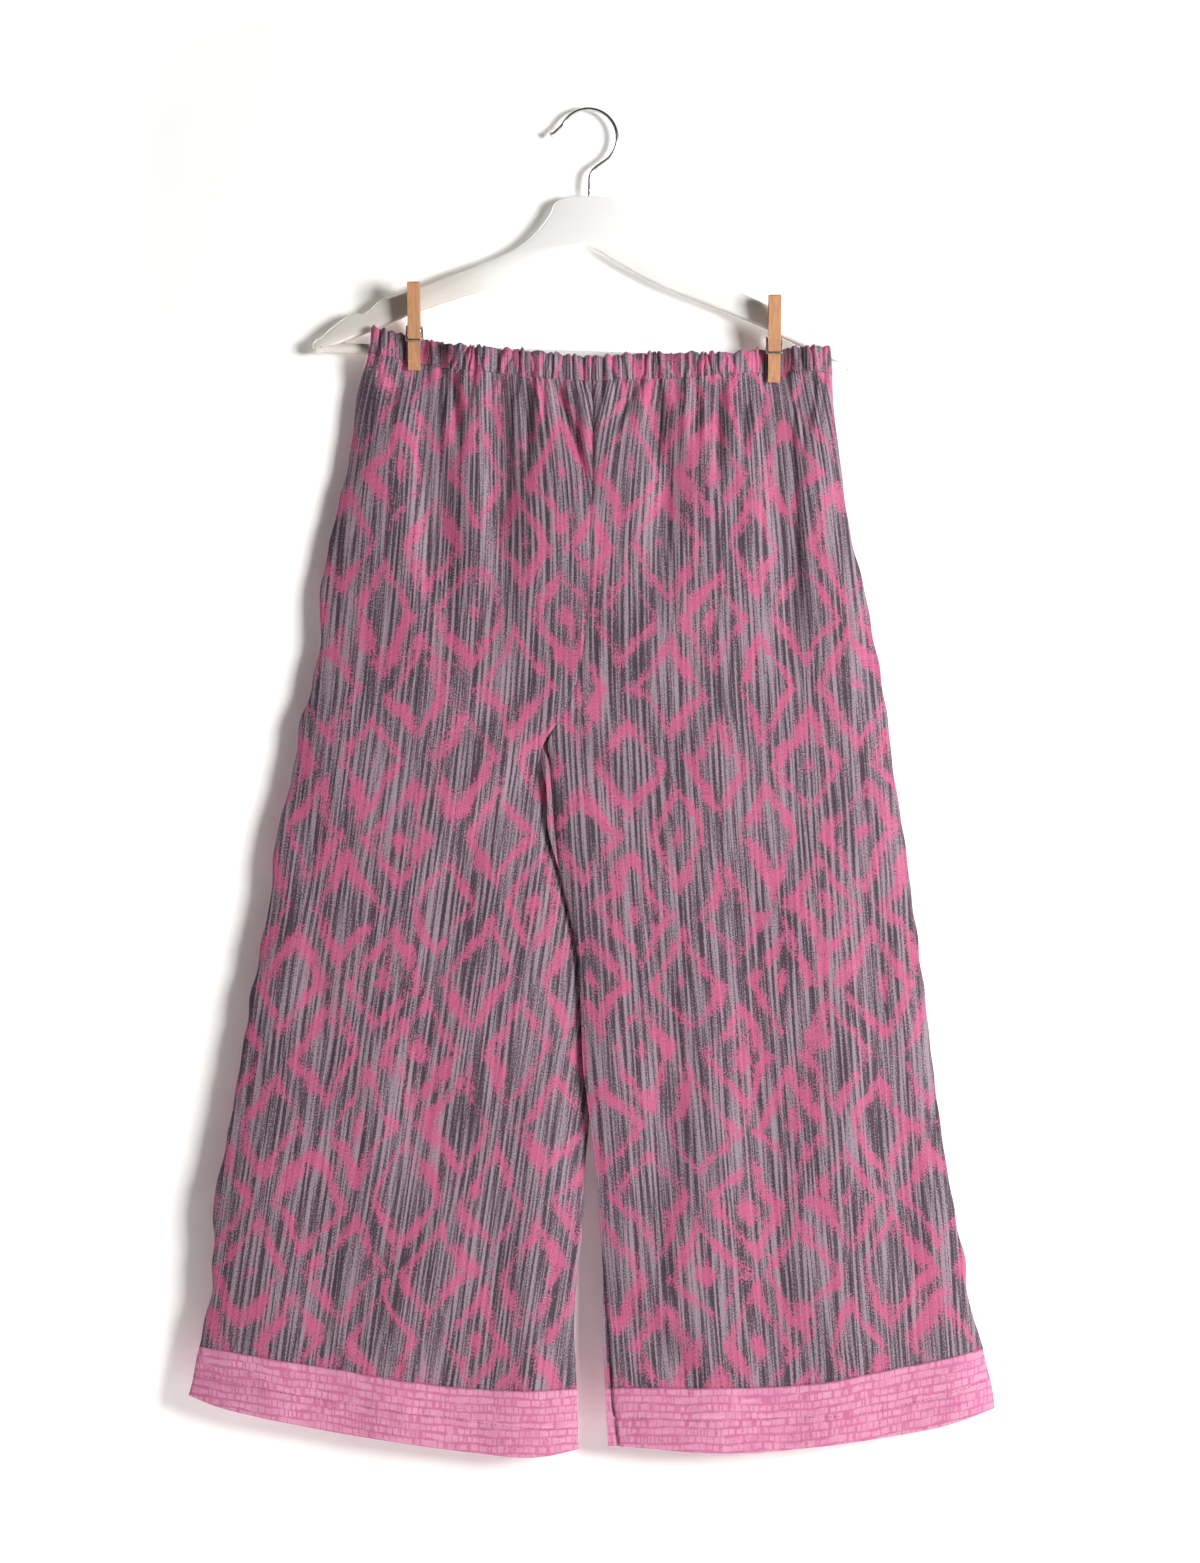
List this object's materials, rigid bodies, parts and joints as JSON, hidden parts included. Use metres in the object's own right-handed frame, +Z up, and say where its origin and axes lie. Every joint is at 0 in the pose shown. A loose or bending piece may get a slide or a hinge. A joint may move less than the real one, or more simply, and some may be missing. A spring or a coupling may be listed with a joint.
{
  "type": "palazzo pants clipped to a clothes hanger",
  "caption": "Wide-leg palazzo pants with a gathered elastic waist and contrast hem bands, clipped by clothespins to the bar of a wooden hanger with a wire hook.",
  "frame": {"origin": "the seat of the hanger's hook, on the inner top of the wire, where the rail or nail carries it", "axes": "+Z up, +X to the viewer's right, which is the wearer's left side, and the garment's front faces -Y"},
  "size_m": [0.6568, 0.0443, 1.096],
  "materials": {
    "printed_cloth": "matt light cotton with grey-purple streaks and a ragged pink lattice",
    "band_cloth": "matt pink cotton with a small dash weave",
    "white_paint": "satin white paint on wood",
    "chrome_wire": "bright plated wire",
    "bare_wood": "plain unpainted beech",
    "spring_steel": "grey spring wire"
  },
  "bodies": {
    "root": {"waistband_front": "printed_cloth", "waistband_back": "printed_cloth", "right_front": "printed_cloth", "right_back": "printed_cloth", "left_front": "printed_cloth", "left_back": "printed_cloth", "right_hem_front": "band_cloth", "right_hem_back": "band_cloth", "left_hem_front": "band_cloth", "left_hem_back": "band_cloth", "hanger_body": "white_paint", "hanger_bar": "white_paint", "hanger_hook": "chrome_wire", "pin_right_front_prong": "bare_wood", "pin_right_rear_prong": "bare_wood", "pin_right_spring": "spring_steel", "pin_left_front_prong": "bare_wood", "pin_left_rear_prong": "bare_wood", "pin_left_spring": "spring_steel"}
  },
  "joints": []
}
